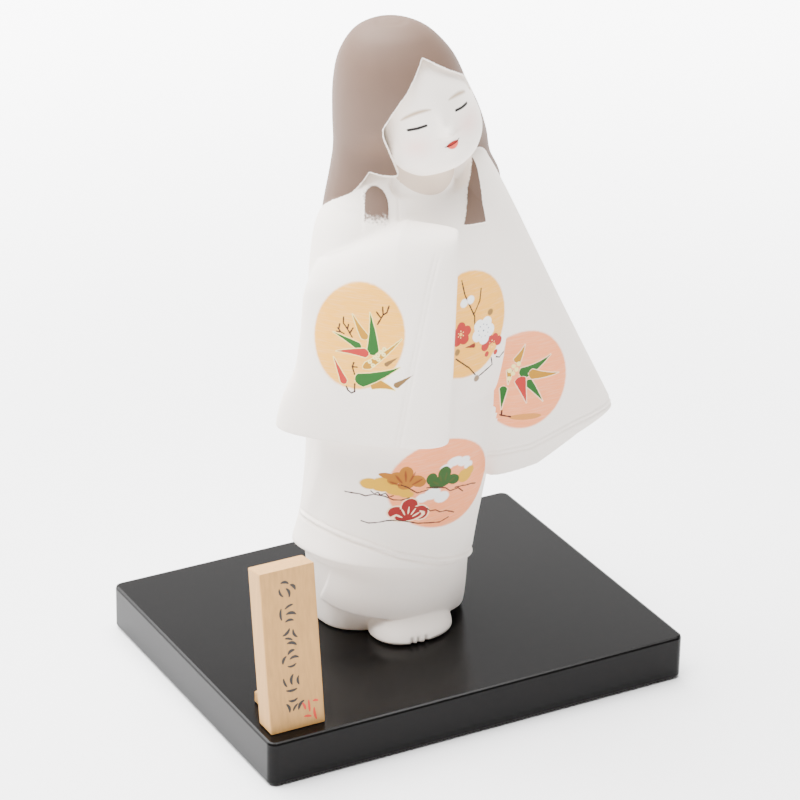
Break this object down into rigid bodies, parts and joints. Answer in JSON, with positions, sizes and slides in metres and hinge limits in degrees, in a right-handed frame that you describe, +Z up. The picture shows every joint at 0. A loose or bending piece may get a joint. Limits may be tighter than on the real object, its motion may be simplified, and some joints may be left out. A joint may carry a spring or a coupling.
{
  "type": "hakata doll",
  "caption": "Painted clay figure of a standing girl in a long-sleeved robe, on a lacquered board with a leaning wooden name tablet; made to stand on a shelf as an ornament.",
  "frame": {"origin": "centre of the plinth's underside, on the surface that the plinth stands on", "axes": "+Z up; +X to the right along the plinth's long front edge, as seen from the front; +Y back, away from the front edge, so the figure faces -Y"},
  "size_m": [0.17, 0.131, 0.2473],
  "materials": {
    "lacquered_board": "black lacquer, satin",
    "painted_clay": "bisque-fired clay with matt white body paint, hand-painted hair, face and roundels",
    "plain_wood": "planed straight-grained wood, uncoated"
  },
  "bodies": {
    "root": {"plinth": "lacquered_board", "doll": "painted_clay", "name_tablet": "plain_wood", "tablet_prop": "plain_wood"}
  },
  "joints": []
}
